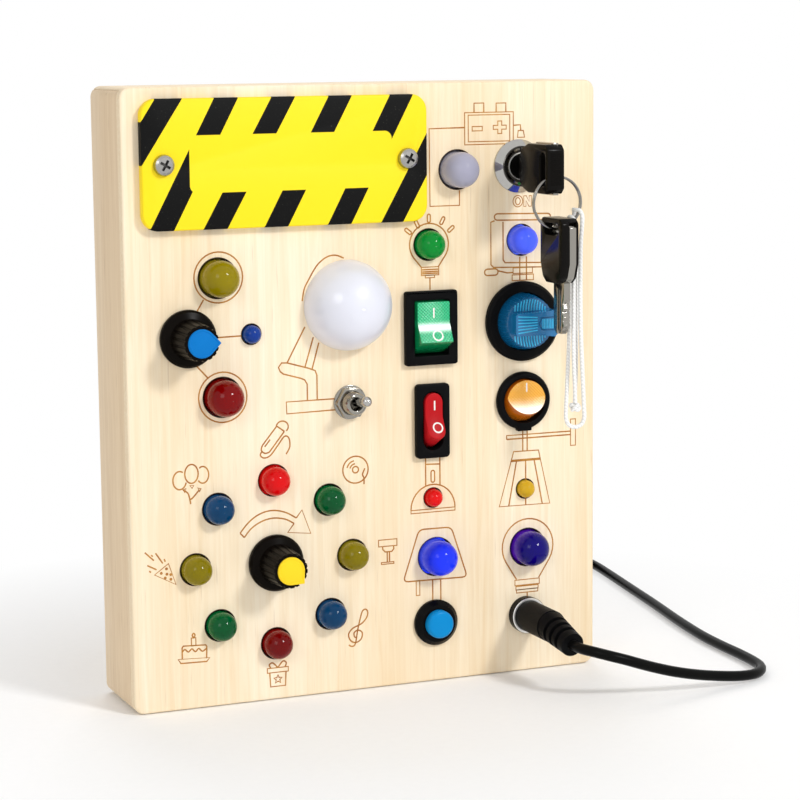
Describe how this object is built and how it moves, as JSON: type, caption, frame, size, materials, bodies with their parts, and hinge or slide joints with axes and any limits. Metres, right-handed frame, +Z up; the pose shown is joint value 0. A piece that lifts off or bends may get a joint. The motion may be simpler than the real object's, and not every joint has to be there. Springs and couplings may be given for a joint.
{
  "type": "wooden busy board",
  "caption": "Upright wooden activity board with coloured lamps, rocker, toggle, push, rotary and key switches, fed by a lead.",
  "frame": {"origin": "middle of the bottom face that the board stands on", "axes": "+Z up along the board's height, -Y out of the front face that carries the controls, +X to the right seen from the front"},
  "size_m": [0.201, 0.1922, 0.17],
  "materials": {
    "pine": "planed, clear matt lacquer",
    "basswood_ply": "sanded, laser engraved",
    "sign_yellow": "satin paint with black stripes",
    "steel_screw": "zinc plated",
    "nickel": "nickel plated",
    "chrome": "polished",
    "lamp_grey": "clear epoxy",
    "lamp_olive": "clear epoxy",
    "lamp_dark_red": "clear epoxy",
    "lamp_lit_blue": "clear epoxy, lit",
    "lamp_purple": "clear epoxy",
    "lamp_green": "clear epoxy",
    "lamp_dark_blue": "clear epoxy",
    "lamp_lit_red": "clear epoxy, lit",
    "lamp_yellow": "clear epoxy",
    "tinned_wire": "tinned",
    "frosted_white": "frosted",
    "pcb_white": "solder resist",
    "switch_black": "moulded",
    "gloss_black": "moulded",
    "knob_black": "smoked, fluted",
    "cap_blue": "moulded",
    "cap_yellow": "moulded",
    "clear_blue": "clear, ribbed",
    "clear_green": "clear, lit",
    "red_plastic": "moulded",
    "clear_amber": "clear, lit",
    "button_blue": "moulded",
    "red_phenolic": "moulded",
    "spring_steel": "bright",
    "pcb_green": "solder resist",
    "nylon": "moulded",
    "wire_red": "extruded",
    "white_cord": "braided",
    "lead_black": "glossy"
  },
  "bodies": {
    "board": {"frame_left": "pine", "frame_right": "pine", "frame_top": "pine", "frame_bottom": "pine", "front_panel": "basswood_ply", "back_panel": "basswood_ply", "back_screws": "steel_screw", "sign_plate": "sign_yellow", "sign_screws": "nickel", "led_grey": "lamp_grey", "leds_olive": "lamp_olive", "leds_dark_red": "lamp_dark_red", "leds_lit_blue": "lamp_lit_blue", "led_purple": "lamp_purple", "leds_green": "lamp_green", "leds_dark_blue": "lamp_dark_blue", "leds_lit_red": "lamp_lit_red", "led_yellow": "lamp_yellow", "led_leads": "tinned_wire", "lamp_dome": "frosted_white", "lamp_board": "pcb_white", "rotary_switches": "switch_black", "rotary_bezel": "gloss_black", "rotary_body": "switch_black", "green_housing": "gloss_black", "red_housing": "gloss_black", "amber_housing": "gloss_black", "toggle_body": "red_phenolic", "toggle_nut": "nickel", "button_body": "gloss_black", "button_spring": "spring_steel", "lock_barrel": "chrome", "panel_nuts": "nickel", "dc_jack": "gloss_black", "circuit_board": "pcb_green", "board_spacers": "nylon", "wire_loom": "wire_red", "dc_plug": "lead_black", "power_cord": "lead_black", "cord_coil": "lead_black", "usb_plug": "lead_black"},
    "mode_knob": {"mode_knob": "knob_black", "mode_cap": "cap_blue", "mode_shaft": "nickel"},
    "selector_knob": {"selector_knob": "knob_black", "selector_cap": "cap_yellow", "selector_shaft": "nickel"},
    "rotary_knob": {"rotary_knob": "clear_blue"},
    "green_rocker": {"green_rocker": "clear_green"},
    "red_rocker": {"red_rocker": "red_plastic"},
    "amber_rocker": {"amber_rocker": "clear_amber"},
    "toggle_lever": {"toggle_lever": "chrome"},
    "push_button": {"button_cap": "button_blue"},
    "lock_cylinder": {"lock_cylinder": "nickel"},
    "key": {"key": "nickel", "key_cover": "gloss_black"},
    "key_ring": {"key_ring": "chrome", "key_string": "white_cord"},
    "spare_key": {"spare_key": "nickel", "spare_cover": "gloss_black"}
  },
  "joints": [
    {"name": "mode_turn", "type": "hinge", "parent": "board", "child": "mode_knob", "pos_m": [-0.0528, -0.019, 0.1026], "axis": [0, -1, 0], "range_deg": [-60, 60]},
    {"name": "selector_turn", "type": "hinge", "parent": "board", "child": "selector_knob", "pos_m": [-0.0288, -0.019, 0.039], "axis": [0, -1, 0], "range_deg": [-180, 135]},
    {"name": "rotary_turn", "type": "hinge", "parent": "board", "child": "rotary_knob", "pos_m": [0.0469, -0.017, 0.1022], "axis": [0, -1, 0], "range_deg": [0, 90]},
    {"name": "green_rock", "type": "hinge", "parent": "board", "child": "green_rocker", "pos_m": [0.0183, -0.0105, 0.10185], "axis": [1, 0, 0], "range_deg": [0, 27]},
    {"name": "red_rock", "type": "hinge", "parent": "board", "child": "red_rocker", "pos_m": [0.0185, -0.011, 0.0755], "axis": [1, 0, 0], "range_deg": [0, 27]},
    {"name": "amber_rock", "type": "hinge", "parent": "board", "child": "amber_rocker", "pos_m": [0.047, -0.0125, 0.0794], "axis": [1, 0, 0], "range_deg": [0, 27]},
    {"name": "toggle_flip", "type": "hinge", "parent": "board", "child": "toggle_lever", "pos_m": [-0.006, -0.017, 0.0823], "axis": [1, 0, 0], "range_deg": [0, 20]},
    {"name": "button_press", "type": "slide", "parent": "board", "child": "push_button", "axis": [0, 1, 0], "range_m": [0, 0.0025], "stiffness_N_per_m": 400, "deforming": ["button_spring"]},
    {"name": "lock_turn", "type": "hinge", "parent": "board", "child": "lock_cylinder", "pos_m": [0.0459, -0.014, 0.1462], "axis": [0, -1, 0], "range_deg": [-90, 0]},
    {"name": "key_pull", "type": "slide", "parent": "lock_cylinder", "child": "key", "axis": [0, -1, 0], "range_m": [0, 0.018]},
    {"name": "ring_swing", "type": "hinge", "parent": "key", "child": "key_ring", "pos_m": [0.0459, -0.035, 0.14325], "axis": [-1, 0, 0], "range_deg": [-3, 40]},
    {"name": "spare_key_swing", "type": "hinge", "parent": "key_ring", "child": "spare_key", "pos_m": [0.0485, -0.035, 0.12975], "axis": [-1, 0, 0], "range_deg": [-8, 40]}
  ]
}
